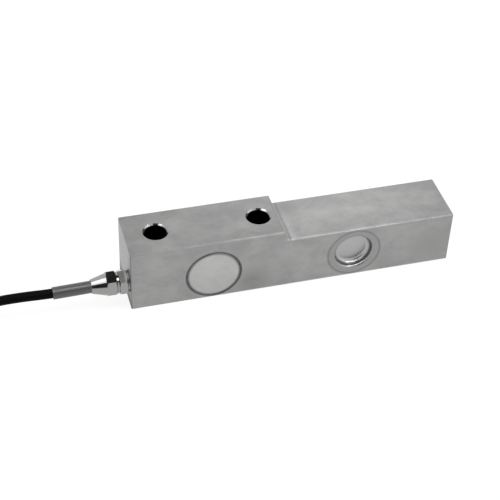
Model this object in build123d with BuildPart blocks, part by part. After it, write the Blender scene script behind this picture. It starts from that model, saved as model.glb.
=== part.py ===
"""A stepped shear-beam load cell of stainless steel, with its strain gauges, seals, gland and cable.

X runs along the beam from the cable end to the free end, Y across it with the terminal cover at -Y,
and Z up from the flat underside. The origin is the middle of the beam's underside.
"""

import math
import os

from build123d import *

os.makedirs("parts", exist_ok=True)

# Driving dimensions in millimetres: the beam, milled from square bar
beam_length = 203.2
beam_width = 36.5
beam_height = 36.5
step_height = 6.4
pad_length = 94.0
step_lean = 2.4
step_fillet = 1.2
edge_break = 0.5

# The two mounting holes through the pad, on the centre line
mount_hole_diameter = 13.5
mount_hole_inset = 19.05
mount_hole_spacing = 63.5
mount_hole_chamfer = 1.0

# The tapped load hole in the underside of the free end
load_hole_diameter = 11.5
load_hole_depth = 25.4
load_hole_inset = 19.05
load_hole_chamfer = 0.8
drill_point_height = 3.2

# The gauge pockets, one each side of a thin web, and the cups that seal them
side_centre_height = 18.25
gauge_inset = 139.7
pocket_diameter = 30.0
web_thickness = 7.0
web_hole_diameter = 3.2
web_hole_offset = 12.6
cup_flange_diameter = 32.4
cup_flange_thickness = 1.0
cup_well_diameter = 23.5
cup_well_depth = 5.2
cup_wall = 0.8
cup_lip_radius = 1.8
cup_floor_radius = 2.6
cup_seat_clearance = 0.1

# The terminal cavity and its flush welded cover
cover_inset = 50.8
cover_diameter = 33.0
cover_thickness = 2.0
cover_clearance = 0.15
seam_chamfer = 0.5
cavity_diameter = 29.0
cavity_depth = 12.0

# The strain gauges
gauge_length = 12.0
gauge_height = 9.0
gauge_film = 0.15
gauge_foil = 0.06
gauge_grid = 3.2
gauge_grid_offset = 2.7
gauge_tab = 1.9

# The terminal board, its pads and its trimming resistors
board_diameter = 26.0
board_thickness = 1.6
pad_thickness = 0.5
core_pad_length = 3.2
core_pad_width = 1.7
core_pad_spacing = 2.8
core_pad_offset = 8.2
ribbon_pad_length = 3.0
ribbon_pad_offset = 8.0
resistor_length = 6.0
resistor_width = 1.8
resistor_height = 1.2
resistor_spacing = 3.6

# The drilled way for the wires, and the wires in it
wire_bore_diameter = 4.0
ribbon_width = 1.7
ribbon_thickness = 0.5
ribbon_spacing = 2.0
ribbon_bend = 0.8
ribbon_pocket_gap = 0.9
core_diameter = 1.1
core_spacing = 1.5
core_bend = 1.6

# The cable gland, on its own axis behind the front face
gland_inset = 7.75
gland_height = 16.7
gland_thread_diameter = 10.0
gland_thread_length = 7.5
gland_bore_depth = 9.0
thread_clearance = 0.05
seal_diameter = 13.4
seal_thickness = 1.2
body_flats = 14.0
body_hex_length = 5.2
body_ridge_angle = 37.0
nut_flats = 14.3
nut_hex_length = 4.9
nut_ridge_angle = 44.6
hex_chamfer_angle = 30.0
neck_length = 2.5
neck_engagement = 3.7
cone_length = 9.0
cone_base_diameter = 13.6
cone_tip_diameter = 8.7
cone_edge_radius = 0.3
grommet_length = 4.4
clamp_washer_thickness = 0.8
sleeve_diameter = 7.5
sleeve_length = 27.4
sleeve_start = 0.4
sleeve_clearance = 0.2
jacket_clearance = 0.05

# The cable: its size, its whole length and the route of the part that isn't wound
cable_diameter = 5.9
cable_length = 3000.0
cable_strip = 8.4
route_nut = (-131.5, -10.5, 16.7)
route_sleeve = (-147.5, -10.45, 15.9)
route_middle = (-165.5, -10.55, 17.05)
route_edge = (-182.0, -11.4, 17.6)

# The spare length, wound into a long tied hank on the floor beyond the gland
hank_near = 196.0
hank_centre_y = 9.6
hank_fold_radius = 18.0
hank_turn_pitch = 6.0
hank_columns = 2
hank_layers = 5
hank_entry = 17.5
hank_lead_in = 8.5
tie_thickness = 0.8
tie_width = 20.0
tie_clearance = 0.05
tail_length = 30.0
collar_length = 14.0
collar_wall = 0.45
lead_diameter = 1.4
lead_ring_radius = 1.35
lead_bend = 12.0
tip_diameter = 0.8
tip_length = 6.0

# Places that the pieces share
end_x = -beam_length / 2
front_y = -beam_width / 2
step_x = end_x + pad_length
step_foot_x = step_x + step_lean
pad_height = beam_height + step_height
hole_1_x = end_x + mount_hole_inset
hole_2_x = hole_1_x + mount_hole_spacing
load_x = beam_length / 2 - load_hole_inset
gauge_x = end_x + gauge_inset
cover_x = end_x + cover_inset
gland_y = front_y + gland_inset
web_face_y = -web_thickness / 2
cavity_floor_y = front_y + cavity_depth
board_face_y = cavity_floor_y - board_thickness
pad_face_y = board_face_y - pad_thickness
cable_radius = cable_diameter / 2

# The front face as a drawing plane: X along the beam, Y up, facing out
front_plane = Plane(origin=(0, front_y, 0), x_dir=(1, 0, 0), z_dir=(0, -1, 0))
back_plane = Plane(origin=(0, -front_y, 0), x_dir=(-1, 0, 0), z_dir=(0, 1, 0))
end_plane = Plane.YZ.offset(end_x)


def turned(outline, plane, axis):
    """A solid turned about an axis from its half outline, drawn on a plane that holds the axis."""
    with BuildPart() as turning:
        with BuildSketch(plane):
            with BuildLine():
                Polyline(*outline, close=True)
            make_face()
        revolve(axis=axis)
    return turning.part


def wire(points, radius, bend):
    """A round wire through the points, with the same bend radius at each corner."""
    with BuildPart() as run:
        with BuildLine() as path:
            FilletPolyline(*points, radius=bend)
        with BuildSketch(Plane(origin=path.line @ 0, z_dir=path.line % 0)):
            Circle(radius)
        sweep()
    return run.part


# Beam: a bar with a raised pad at its cable end, drilled and pocketed
with BuildPart() as beam_body:
    with BuildSketch(Plane.XZ) as side_view:
        with BuildLine():
            Polyline(
                (end_x, 0),
                (-end_x, 0),
                (-end_x, beam_height),
                (step_foot_x, beam_height),
                (step_x, pad_height),
                (end_x, pad_height),
                close=True,
            )
        make_face()
        fillet(side_view.vertices().sort_by_distance((step_foot_x, beam_height))[0], radius=step_fillet)
    extrude(amount=beam_width / 2, both=True)

    # Every outer edge is broken, and the two seams of the step's fillet are left smooth
    step_seams = beam_body.edges().filter_by(Axis.Y).filter_by(
        lambda edge: edge.center().Z < pad_height - 0.01
        and edge.center().Z > beam_height - 0.01
        and abs(edge.center().X - step_foot_x) < step_fillet
    )
    chamfer(beam_body.edges() - step_seams, length=edge_break)

    # Mounting holes
    with Locations((hole_1_x, 0, pad_height), (hole_2_x, 0, pad_height)):
        Hole(mount_hole_diameter / 2)
    mouths = beam_body.edges().filter_by(GeomType.CIRCLE).filter_by(
        lambda edge: abs(edge.radius - mount_hole_diameter / 2) < 0.001
    )
    chamfer(mouths, length=mount_hole_chamfer)

    # Load hole with its drill point and countersunk mouth
    load_axis = Axis((load_x, 0, 0), (0, 0, 1))
    load_radius = load_hole_diameter / 2
    drilled = [
        (load_x, 0),
        (load_x + load_radius + load_hole_chamfer, 0),
        (load_x + load_radius, load_hole_chamfer),
        (load_x + load_radius, load_hole_depth),
        (load_x, load_hole_depth + drill_point_height),
    ]
    add(turned(drilled, Plane.XZ, load_axis), mode=Mode.SUBTRACT)

    # Gauge pockets with the seats of their cups, front and back
    for face, x in ((front_plane, gauge_x), (back_plane, -gauge_x)):
        with BuildSketch(face):
            with Locations((x, side_centre_height)):
                Circle(cup_flange_diameter / 2 + cup_seat_clearance)
        extrude(amount=-cup_flange_thickness, mode=Mode.SUBTRACT)
        with BuildSketch(face):
            with Locations((x, side_centre_height)):
                Circle(pocket_diameter / 2)
        extrude(amount=-(beam_width - web_thickness) / 2, mode=Mode.SUBTRACT)

    # Terminal cavity with the stepped seat of its cover
    seat_radius = cover_diameter / 2 + cover_clearance
    cover_axis = Axis((cover_x, front_y, side_centre_height), (0, 1, 0))
    cavity = [
        (cover_x, front_y),
        (cover_x + seat_radius + seam_chamfer, front_y),
        (cover_x + seat_radius, front_y + seam_chamfer),
        (cover_x + seat_radius, front_y + cover_thickness),
        (cover_x + cavity_diameter / 2, front_y + cover_thickness),
        (cover_x + cavity_diameter / 2, cavity_floor_y),
        (cover_x, cavity_floor_y),
    ]
    add(turned(cavity, Plane.XY.offset(side_centre_height), cover_axis), mode=Mode.SUBTRACT)

    # Tapped gland hole, and the wire bore on through the cavity to the front pocket
    with BuildSketch(end_plane):
        with Locations((gland_y, gland_height)):
            Circle(gland_thread_diameter / 2 + thread_clearance)
    extrude(amount=gland_bore_depth, mode=Mode.SUBTRACT)
    with BuildSketch(end_plane):
        with Locations((gland_y, gland_height)):
            Circle(wire_bore_diameter / 2)
    extrude(amount=gauge_inset - pocket_diameter / 2 + 1, mode=Mode.SUBTRACT)

    # Cross hole in the web for the back gauge's ribbon
    with BuildSketch(front_plane):
        with Locations((gauge_x - web_hole_offset, gland_height - ribbon_spacing / 2)):
            Circle(web_hole_diameter / 2)
    extrude(amount=-(beam_width + web_thickness) / 2, mode=Mode.SUBTRACT)
beam_body.part.label = "beam_body"
export_step(beam_body.part, "parts/beam_body.step")

# Terminal cover: a flat disc, flush with the face, with a bevelled rim at the weld seam
with BuildPart() as terminal_cover:
    with BuildSketch(front_plane):
        with Locations((cover_x, side_centre_height)):
            Circle(cover_diameter / 2)
    extrude(amount=-cover_thickness)
    chamfer(terminal_cover.edges().sort_by(Axis.Y)[0], length=seam_chamfer)
terminal_cover.part.label = "terminal_cover"
export_step(terminal_cover.part, "parts/terminal_cover.step")

# Sealing cups: a pressed dish with a flat flange, one in each gauge pocket
with BuildPart() as gauge_cup_front:
    with BuildSketch(Plane.XY.offset(side_centre_height)) as cup_half:
        well_radius = cup_well_diameter / 2
        with BuildLine():
            Polyline(
                (gauge_x, front_y + cup_well_depth),
                (gauge_x + well_radius, front_y + cup_well_depth),
                (gauge_x + well_radius, front_y),
                (gauge_x + cup_flange_diameter / 2, front_y),
                (gauge_x + cup_flange_diameter / 2, front_y + cup_flange_thickness),
                (gauge_x + well_radius + cup_wall, front_y + cup_flange_thickness),
                (gauge_x + well_radius + cup_wall, front_y + cup_well_depth + cup_wall),
                (gauge_x, front_y + cup_well_depth + cup_wall),
                close=True,
            )
        make_face()
        lip = cup_half.vertices().sort_by_distance((gauge_x + well_radius, front_y))[0]
        fillet(lip, radius=cup_lip_radius)
        dish = cup_half.vertices().sort_by_distance(
            (gauge_x + well_radius, front_y + cup_well_depth)
        )[0]
        fillet(dish, radius=cup_floor_radius)
        heel = cup_half.vertices().sort_by_distance(
            (gauge_x + well_radius + cup_wall, front_y + cup_well_depth + cup_wall)
        )[0]
        fillet(heel, radius=cup_floor_radius + cup_wall)
    revolve(axis=Axis((gauge_x, front_y, side_centre_height), (0, 1, 0)))
gauge_cup_front.part.label = "gauge_cup_front"
export_step(gauge_cup_front.part, "parts/gauge_cup_front.step")

with BuildPart() as gauge_cup_back:
    mirror(gauge_cup_front.part, about=Plane.XZ)
gauge_cup_back.part.label = "gauge_cup_back"
export_step(gauge_cup_back.part, "parts/gauge_cup_back.step")

# Shear gauges: a film with two foil grids at right angles and four solder tabs, on the web
with BuildPart() as shear_gauge_front:
    web_plane = Plane(
        origin=(gauge_x, web_face_y, side_centre_height), x_dir=(1, 0, 0), z_dir=(0, -1, 0)
    )
    with BuildSketch(web_plane):
        RectangleRounded(gauge_length, gauge_height, 0.6)
    extrude(amount=gauge_film)
    with BuildSketch(web_plane.offset(gauge_film)):
        with Locations((0.8, gauge_grid_offset / 2 + 0.6)):
            Rectangle(gauge_grid, gauge_grid, rotation=45)
        with Locations((0.8 + gauge_grid_offset, -gauge_grid_offset / 2 - 0.6)):
            Rectangle(gauge_grid, gauge_grid, rotation=45)
        with Locations((-gauge_length / 2 + gauge_tab / 2 + 0.4, 0)):
            with GridLocations(0, gauge_tab + 0.2, 1, 4):
                Rectangle(gauge_tab, gauge_tab)
    extrude(amount=gauge_foil)
shear_gauge_front.part.label = "shear_gauge_front"
export_step(shear_gauge_front.part, "parts/shear_gauge_front.step")

with BuildPart() as shear_gauge_back:
    mirror(shear_gauge_front.part, about=Plane.XZ)
shear_gauge_back.part.label = "shear_gauge_back"
export_step(shear_gauge_back.part, "parts/shear_gauge_back.step")

# Terminal board: a round board bonded to the cavity's floor
board_plane = Plane(
    origin=(cover_x, board_face_y, side_centre_height), x_dir=(1, 0, 0), z_dir=(0, -1, 0)
)
ribbon_rows = {
    "front": gland_height + ribbon_spacing / 2,
    "back": gland_height - ribbon_spacing / 2,
}
core_rows = [side_centre_height + core_pad_spacing * (row - 1.5) for row in range(4)]
with BuildPart() as terminal_board:
    with BuildSketch(board_plane):
        Circle(board_diameter / 2)
    extrude(amount=-board_thickness)
terminal_board.part.label = "terminal_board"
export_step(terminal_board.part, "parts/terminal_board.step")

# Solder pads: four for the cable's cores and one for each gauge's ribbon
with BuildPart() as solder_pads:
    with BuildSketch(board_plane):
        with Locations((-core_pad_offset, 0)):
            with GridLocations(0, core_pad_spacing, 1, 4):
                Rectangle(core_pad_length, core_pad_width)
        for height in ribbon_rows.values():
            with Locations((ribbon_pad_offset, height - side_centre_height)):
                Rectangle(ribbon_pad_length, ribbon_width)
    extrude(amount=pad_thickness)
solder_pads.part.label = "solder_pads"
export_step(solder_pads.part, "parts/solder_pads.step")

# Trimming resistors: three wound bobbins across the board
with BuildPart() as trim_resistors:
    with BuildSketch(board_plane):
        with GridLocations(resistor_spacing, 0, 3, 1):
            Rectangle(resistor_width, resistor_length)
    extrude(amount=resistor_height)
    chamfer(trim_resistors.edges().group_by(Axis.Y)[0].filter_by(Axis.Z), length=0.4)
trim_resistors.part.label = "trim_resistors"
export_step(trim_resistors.part, "parts/trim_resistors.step")

# Gauge ribbons: from the board's pad along the wire bore, down the pocket and onto the gauge
ribbon_pad_y = pad_face_y - ribbon_thickness / 2
ribbon_tab_y = web_face_y - gauge_film - gauge_foil - ribbon_thickness / 2
pocket_edge_x = gauge_x - pocket_diameter / 2
for side, sign in (("front", 1), ("back", -1)):
    turn_x = pocket_edge_x + ribbon_pocket_gap + ribbon_thickness
    if side == "back":
        turn_x = gauge_x - web_hole_offset
    row = ribbon_rows[side]
    with BuildPart() as gauge_ribbon:
        with BuildLine():
            FilletPolyline(
                (cover_x + ribbon_pad_offset - ribbon_pad_length / 2, ribbon_pad_y, row),
                (cover_x + ribbon_pad_offset + ribbon_pad_length / 2, ribbon_pad_y, row),
                (cover_x + cavity_diameter / 2 - 1, gland_y, row),
                (turn_x, gland_y, row),
                (turn_x, sign * ribbon_tab_y, row),
                (gauge_x - gauge_length / 2 + gauge_tab, sign * ribbon_tab_y, row),
                radius=ribbon_bend,
            )
        with BuildSketch(
            Plane(
                origin=(cover_x + ribbon_pad_offset - ribbon_pad_length / 2, ribbon_pad_y, row),
                x_dir=(0, 0, 1),
                z_dir=(1, 0, 0),
            )
        ):
            Rectangle(ribbon_width, ribbon_thickness)
        sweep()
    gauge_ribbon.part.label = f"gauge_ribbon_{side}"
    export_step(gauge_ribbon.part, f"parts/gauge_ribbon_{side}.step")

# Cable cores: four insulated wires from the stripped cable to the board's pads
core_start_x = end_x + cable_strip
core_end_x = cover_x - core_pad_offset + core_pad_length / 2
core_fan_x = cover_x - cavity_diameter / 2 + 1.5
core_pad_y = pad_face_y - core_diameter / 2
with BuildPart() as cable_cores:
    for row, target in enumerate(core_rows):
        height = gland_height + core_spacing * (-0.5 if row < 2 else 0.5)
        depth = gland_y + core_spacing * (-0.5 if row in (0, 3) else 0.5)
        points = [
            (core_start_x, depth, height),
            (core_fan_x, depth, height),
            (cover_x - core_pad_offset - core_pad_length / 2, core_pad_y, target),
            (core_end_x, core_pad_y, target),
        ]
        add(wire(points, core_diameter / 2, core_bend))
cable_cores.part.label = "cable_cores"
export_step(cable_cores.part, "parts/cable_cores.step")

# The gland's axis points out of the end face, and a half outline is drawn as (distance out, radius)
gland_origin = Vector(end_x, gland_y, gland_height)
gland_axis = Axis(gland_origin, (-1, 0, 0))
gland_half = Plane(origin=gland_origin, x_dir=(-1, 0, 0), z_dir=(0, 1, 0))


def hex_plane(distance, ridge_angle):
    """A plane across the gland's axis, with a corner of its hexagons at the ridge angle above level."""
    ridge = math.radians(ridge_angle)
    return Plane(
        origin=gland_origin + Vector(-distance, 0, 0),
        x_dir=(0, -math.cos(ridge), math.sin(ridge)),
        z_dir=(-1, 0, 0),
    )


def hex_envelope(start, length, flats):
    """The turned form that bevels both ends of a hexagon at the chamfer angle."""
    corner = flats / math.sqrt(3) + 0.1
    face = flats / 2 * 0.96
    bevel = (corner - face) * math.tan(math.radians(hex_chamfer_angle))
    outline = [
        (start, 0),
        (start, face),
        (start + bevel, corner),
        (start + length - bevel, corner),
        (start + length, face),
        (start + length, 0),
    ]
    return turned(outline, gland_half, gland_axis)


# Seal ring between the gland and the beam
with BuildPart() as gland_seal:
    with BuildSketch(gland_half) as seal_half:
        with Locations((seal_thickness / 2, (seal_diameter + gland_thread_diameter) / 4)):
            ring_width = (seal_diameter - gland_thread_diameter) / 2 - thread_clearance
            RectangleRounded(seal_thickness, ring_width, 0.35)
    revolve(axis=gland_axis)
gland_seal.part.label = "gland_seal"
export_step(gland_seal.part, "parts/gland_seal.step")

# Gland body: a threaded stub, a hexagon and a threaded neck, bored for the cable
body_start = seal_thickness
neck_start = body_start + body_hex_length
nut_start = neck_start + neck_length
neck_end = nut_start + neck_engagement
with BuildPart() as gland_body:
    with BuildSketch(hex_plane(body_start, body_ridge_angle)):
        RegularPolygon(body_flats / math.sqrt(3), 6)
    extrude(amount=body_hex_length)
    add(hex_envelope(body_start, body_hex_length, body_flats), mode=Mode.INTERSECT)
    with BuildSketch(hex_plane(-gland_thread_length, body_ridge_angle)):
        Circle(gland_thread_diameter / 2)
    extrude(amount=gland_thread_length + neck_end)
    chamfer(gland_body.edges().sort_by(Axis.X)[-1], length=0.6)
    chamfer(gland_body.edges().sort_by(Axis.X)[0], length=0.6)
    with BuildSketch(hex_plane(-gland_thread_length, body_ridge_angle)):
        Circle(cable_radius + jacket_clearance)
    extrude(amount=gland_thread_length + neck_end, mode=Mode.SUBTRACT)
gland_body.part.label = "gland_body"
export_step(gland_body.part, "parts/gland_body.step")

# Sealing grommet: the rubber that the nut squeezes onto the cable
grommet_end = neck_end + grommet_length
with BuildPart() as sealing_grommet:
    with BuildSketch(hex_plane(neck_end, 0)):
        Circle(gland_thread_diameter / 2)
        Circle(cable_radius + jacket_clearance, mode=Mode.SUBTRACT)
    extrude(amount=grommet_length)
sealing_grommet.part.label = "sealing_grommet"
export_step(sealing_grommet.part, "parts/sealing_grommet.step")

# Clamp washer between the grommet and the nut's shoulder
shoulder = grommet_end + clamp_washer_thickness
with BuildPart() as clamp_washer:
    with BuildSketch(hex_plane(grommet_end, 0)):
        Circle(gland_thread_diameter / 2)
        Circle(cable_radius + jacket_clearance, mode=Mode.SUBTRACT)
    extrude(amount=clamp_washer_thickness)
clamp_washer.part.label = "clamp_washer"
export_step(clamp_washer.part, "parts/clamp_washer.step")

# Gland nut: a hexagon with a long turned taper, bored for the neck, the grommet and the sleeve
cone_start = nut_start + nut_hex_length
cone_end = cone_start + cone_length
with BuildPart() as gland_nut:
    with BuildSketch(hex_plane(nut_start, nut_ridge_angle)):
        RegularPolygon(nut_flats / math.sqrt(3), 6)
    extrude(amount=nut_hex_length)
    add(hex_envelope(nut_start, nut_hex_length, nut_flats), mode=Mode.INTERSECT)
    taper = [
        (cone_start, 0),
        (cone_start, cone_base_diameter / 2),
        (cone_end, cone_tip_diameter / 2),
        (cone_end, 0),
    ]
    add(turned(taper, gland_half, gland_axis))
    fillet(gland_nut.edges().sort_by(Axis.X)[0], radius=cone_edge_radius)
    inside = [
        (nut_start, 0),
        (nut_start, gland_thread_diameter / 2 + thread_clearance),
        (shoulder, gland_thread_diameter / 2 + thread_clearance),
        (shoulder, sleeve_diameter / 2 + sleeve_clearance),
        (cone_end, sleeve_diameter / 2 + sleeve_clearance),
        (cone_end, 0),
    ]
    add(turned(inside, gland_half, gland_axis), mode=Mode.SUBTRACT)
gland_nut.part.label = "gland_nut"
export_step(gland_nut.part, "parts/gland_nut.step")

# Cable inlet: the straight length of jacket inside the gland, up to its stripped end
inlet_length = cable_strip + shoulder
with BuildPart() as cable_inlet:
    with BuildSketch(hex_plane(-cable_strip, 0)):
        Circle(cable_radius)
    extrude(amount=inlet_length)
cable_inlet.part.label = "cable_inlet"
export_step(cable_inlet.part, "parts/cable_inlet.step")

# The cable's route from the gland's washer to the hank
hank_outer_radius = hank_fold_radius + (hank_columns - 1) * hank_turn_pitch
hank_half_width = hank_outer_radius + hank_turn_pitch / 2
hank_inner_radius = hank_fold_radius - hank_turn_pitch / 2
hank_bend_x = -hank_near - hank_half_width
hank_floor = tie_thickness + tie_clearance
hank_height = hank_layers * hank_turn_pitch
entry_y = hank_centre_y - hank_outer_radius
entry_z = hank_floor + hank_height / 2
cable_start = Vector(end_x - shoulder, gland_y, gland_height)
cable_entry = Vector(hank_bend_x + hank_entry, entry_y, entry_z)
route = [cable_start]
route += [Vector(*point) for point in (route_nut, route_sleeve, route_middle, route_edge)]
route += [cable_entry + Vector(hank_lead_in, 0, 0), cable_entry]


def arc_radii(points):
    """The largest even arcs: at each corner 0.45 of its shorter run, over the half turn's tangent."""
    radii = []
    for before, corner, after in zip(points, points[1:], points[2:]):
        turn = math.radians((corner - before).get_angle(after - corner))
        shorter = min((corner - before).length, (after - corner).length)
        radii.append(0.45 * shorter / math.tan(turn / 2))
    return radii


# Cable: the tube from the gland to the hank
route_radii = arc_radii(route)
with BuildPart() as cable:
    with BuildLine() as cable_path:
        FilletPolyline(*route, radius=route_radii)
    with BuildSketch(Plane(origin=cable_path.line @ 0, z_dir=cable_path.line % 0)):
        Circle(cable_radius)
    sweep()
cable.part.label = "cable"
export_step(cable.part, "parts/cable.step")
route_length = cable_path.wires()[0].length
section = math.pi * cable_radius**2
print("route length", round(route_length, 1), "arc radii", [round(r, 1) for r in route_radii])
print("tube volume over section times length", round(cable.part.volume / (section * route_length), 5))

# Strain relief sleeve: a tube pushed into the nut and over the cable
sleeve_inner = gland_origin + Vector(-shoulder - sleeve_start, 0, 0)
sleeve_aim = Vector(*route_sleeve) - Vector(*route_nut)
sleeve_plane = Plane(origin=sleeve_inner, z_dir=(sleeve_aim.X, sleeve_aim.Y, sleeve_aim.Z / 2))
with BuildPart() as strain_relief_sleeve:
    with BuildSketch(sleeve_plane):
        Circle(sleeve_diameter / 2)
    extrude(amount=sleeve_length)
    fillet(strain_relief_sleeve.edges().sort_by(Axis.X)[0], radius=0.3)
    with BuildLine():
        FilletPolyline(*route, radius=route_radii)
    with BuildSketch(Plane(origin=cable_start, z_dir=route[1] - route[0])):
        Circle(cable_radius + jacket_clearance)
    sweep(mode=Mode.SUBTRACT)
strain_relief_sleeve.part.label = "strain_relief_sleeve"
export_step(strain_relief_sleeve.part, "parts/strain_relief_sleeve.step")

# Hank: long turns beside and on each other, as long as the spare cable makes them
hank_turns = hank_columns * hank_layers
track_radii = [hank_fold_radius + column * hank_turn_pitch for column in range(hank_columns)]
hank_folds = math.pi * (2 * hank_layers * sum(track_radii) - hank_outer_radius)
spare = cable_length - inlet_length - route_length - hank_entry - tail_length
hank_run = (spare - hank_folds) / (2 * hank_turns - 1)
hank_middle_x = hank_bend_x - hank_run / 2
tail_y = hank_centre_y + hank_outer_radius - hank_turn_pitch / 2
tail_z = hank_floor + hank_height + cable_radius + collar_wall
tail_start_x = hank_bend_x - hank_run
with BuildPart() as cable_hank:
    with BuildSketch(Plane.XY.offset(hank_floor)):
        with Locations((hank_middle_x, hank_centre_y)):
            SlotCenterToCenter(hank_run, 2 * hank_half_width)
            SlotCenterToCenter(hank_run, 2 * hank_inner_radius, mode=Mode.SUBTRACT)
    extrude(amount=hank_height)
    # The cable runs in straight on one side, and its tail leaves over the top of the other
    with BuildSketch(Plane.YZ.offset(cable_entry.X)):
        with Locations((entry_y, entry_z)):
            Circle(cable_radius)
    extrude(amount=-hank_entry)
    with BuildSketch(Plane.YZ.offset(tail_start_x)):
        with Locations((tail_y, tail_z)):
            Circle(cable_radius)
        with Locations((tail_y, (tail_z + hank_floor + hank_height) / 2 - 0.25)):
            Rectangle(cable_diameter - 0.4, tail_z - hank_floor - hank_height + 0.5)
    extrude(amount=-hank_entry / 2)
cable_hank.part.label = "cable_hank"
export_step(cable_hank.part, "parts/cable_hank.step")

# Tie: a hook-and-loop band round the turns of the hank's front run
with BuildPart() as hank_tie:
    bundle_y = hank_centre_y - (hank_half_width + hank_inner_radius) / 2
    bundle_width = hank_half_width - hank_inner_radius
    with BuildSketch(Plane.YZ.offset(hank_middle_x - tie_width / 2)):
        with Locations((bundle_y, hank_floor + hank_height / 2)):
            grip = 2 * tie_clearance
            RectangleRounded(
                bundle_width + grip + 2 * tie_thickness, hank_height + grip + 2 * tie_thickness, 1.2
            )
            Rectangle(bundle_width + grip, hank_height + grip, mode=Mode.SUBTRACT)
    extrude(amount=tie_width)
hank_tie.part.label = "hank_tie"
export_step(hank_tie.part, "parts/hank_tie.step")

# Tail: the far end of the cable, lying on the hank
with BuildPart() as cable_tail:
    with BuildSketch(Plane.YZ.offset(tail_start_x)):
        with Locations((tail_y, tail_z)):
            Circle(cable_radius)
    extrude(amount=tail_length)
cable_tail.part.label = "cable_tail"
export_step(cable_tail.part, "parts/cable_tail.step")

# End collar: a shrunk tube over the jacket's end, filled round the leads
tail_end_x = tail_start_x + tail_length
tail_axis = Axis((tail_end_x, tail_y, tail_z), (1, 0, 0))
with BuildPart() as end_collar:
    half = collar_length / 2
    over = cable_radius + collar_wall
    shrunk = [
        (tail_end_x - half, tail_z + cable_radius + jacket_clearance),
        (tail_end_x, tail_z + cable_radius + jacket_clearance),
        (tail_end_x, tail_z),
        (tail_end_x + half, tail_z),
        (tail_end_x + half, tail_z + over - 0.6),
        (tail_end_x + half / 3, tail_z + over - 0.5),
        (tail_end_x - half / 6, tail_z + over),
        (tail_end_x - half, tail_z + over),
    ]
    add(turned(shrunk, Plane.XZ.offset(-tail_y), tail_axis))
end_collar.part.label = "end_collar"
export_step(end_collar.part, "parts/end_collar.step")

# Flying leads: four cores and the shield's drain wire, in a ring in the collar and then side by side
lead_names = ("red", "green", "shield", "white", "black")
lead_ring_angles = (162, 234, 90, 306, 18)
collar_end_x = tail_end_x + collar_length / 2
lead_rest_z = hank_floor + hank_height + lead_diameter / 2 + 0.05
with BuildPart() as lead_tips:
    for number, name in enumerate(lead_names):
        side = number - (len(lead_names) - 1) / 2
        ring = math.radians(lead_ring_angles[number])
        ring_y = tail_y + lead_ring_radius * math.cos(ring)
        ring_z = tail_z + lead_ring_radius * math.sin(ring)
        lead_points = [
            Vector(collar_end_x, ring_y, ring_z),
            Vector(collar_end_x + 4, ring_y, ring_z),
            Vector(collar_end_x + 17, tail_y + 1.9 * side, lead_rest_z),
            Vector(collar_end_x + 31, tail_y + 2.5 * side, lead_rest_z),
            Vector(collar_end_x + 45 + 2 * side, tail_y + 2.1 * side - 1.0, lead_rest_z),
        ]
        lead = wire(lead_points, lead_diameter / 2, lead_bend)
        lead.label = f"lead_{name}"
        export_step(lead, f"parts/lead_{name}.step")
        last_run = lead_points[-1] - lead_points[-2]
        with BuildSketch(Plane(origin=lead_points[-1], z_dir=last_run)):
            Circle(tip_diameter / 2)
        extrude(amount=tip_length)
lead_tips.part.label = "lead_tips"
export_step(lead_tips.part, "parts/lead_tips.step")
print("hank run", round(hank_run, 1), "hank from x", round(tail_start_x - hank_half_width, 1))
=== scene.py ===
"""A stepped stainless steel shear-beam load cell with its welded covers, gland and tied cable."""
import math

import bpy
import numpy as np
from mathutils import Matrix, Vector


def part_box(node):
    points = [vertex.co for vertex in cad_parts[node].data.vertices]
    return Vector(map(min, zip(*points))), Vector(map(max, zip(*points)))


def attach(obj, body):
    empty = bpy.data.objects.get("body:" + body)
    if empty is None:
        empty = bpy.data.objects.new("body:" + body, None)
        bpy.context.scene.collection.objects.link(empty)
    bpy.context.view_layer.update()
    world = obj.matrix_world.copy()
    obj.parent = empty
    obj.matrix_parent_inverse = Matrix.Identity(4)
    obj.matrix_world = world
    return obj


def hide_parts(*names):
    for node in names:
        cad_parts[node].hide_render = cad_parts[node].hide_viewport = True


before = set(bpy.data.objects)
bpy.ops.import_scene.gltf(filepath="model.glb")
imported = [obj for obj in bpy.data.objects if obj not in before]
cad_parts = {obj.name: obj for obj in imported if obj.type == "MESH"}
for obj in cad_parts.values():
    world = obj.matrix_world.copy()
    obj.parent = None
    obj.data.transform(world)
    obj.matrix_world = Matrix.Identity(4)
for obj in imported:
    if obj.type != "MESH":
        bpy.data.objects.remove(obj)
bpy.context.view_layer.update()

# The camera: a long lens held in front of the beam, to the left of its cable end and well above it,
# turned a little so that the beam climbs to the right. Its numbers were solved from the beam's
# corners, in the part's own frame.
camera_turn = math.radians(-17.082)
camera_height = math.radians(41.189)
camera_roll = math.radians(2.595)
camera_target = Vector((-0.043966, -0.067274, 0.078158))
camera_distance = 0.73052
away = Vector((
    math.sin(camera_turn) * math.cos(camera_height),
    -math.cos(camera_turn) * math.cos(camera_height),
    math.sin(camera_height),
))
across = Vector((0, 0, 1)).cross(away).normalized()
upward = away.cross(across)
camera_data = bpy.data.cameras.new("camera")
camera_data.lens = 96.23
camera_data.sensor_width = 36
camera_data.clip_start = 0.01
camera = bpy.data.objects.new("camera", camera_data)
camera_axes = Matrix((across, upward, away)).transposed() @ Matrix.Rotation(camera_roll, 3, "Z")
camera.matrix_world = Matrix.Translation(camera_target + away * camera_distance) @ camera_axes.to_4x4()
bpy.context.collection.objects.link(camera)
bpy.context.scene.camera = camera


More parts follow.
